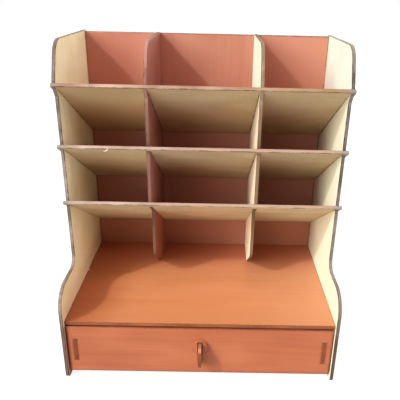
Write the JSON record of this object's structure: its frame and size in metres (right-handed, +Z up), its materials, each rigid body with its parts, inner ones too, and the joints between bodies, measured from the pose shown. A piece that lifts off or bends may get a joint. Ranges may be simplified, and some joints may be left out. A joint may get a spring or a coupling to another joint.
{
  "type": "desk organizer with drawer",
  "caption": "Free-standing desk organiser of thin wood-print board with slanted pen compartments above an open desk top and a shallow drawer with a D-shaped knob on a round plate.",
  "frame": {"origin": "on the floor, in the middle of the organiser's width and of its depth, knob included", "axes": "+Z up, +Y to the back, +X to the right seen from the front; the drawer opens along -Y"},
  "size_m": [0.251, 0.1724, 0.294],
  "materials": {
    "red_wood_board": "fibreboard faced with red-brown wood print, satin",
    "pale_board": "bare pale fibreboard, matt, with browned laser-cut edges"
  },
  "bodies": {
    "carcass": {"side_panel_left": "pale_board", "side_panel_right": "pale_board", "back_panel": "red_wood_board", "shelf_top": "pale_board", "shelf_middle": "pale_board", "shelf_lower": "pale_board", "divider_left": "red_wood_board", "divider_right": "red_wood_board", "desk_panel": "red_wood_board", "base_panel": "red_wood_board"},
    "drawer": {"drawer_front": "red_wood_board", "drawer_side_left": "pale_board", "drawer_side_right": "pale_board", "drawer_back": "pale_board", "drawer_bottom": "pale_board", "drawer_knob": "red_wood_board", "knob_disc": "red_wood_board"}
  },
  "joints": [
    {"name": "drawer_slide", "type": "slide", "parent": "carcass", "child": "drawer", "axis": [0, -1, 0], "range_m": [0, 0.12]}
  ]
}
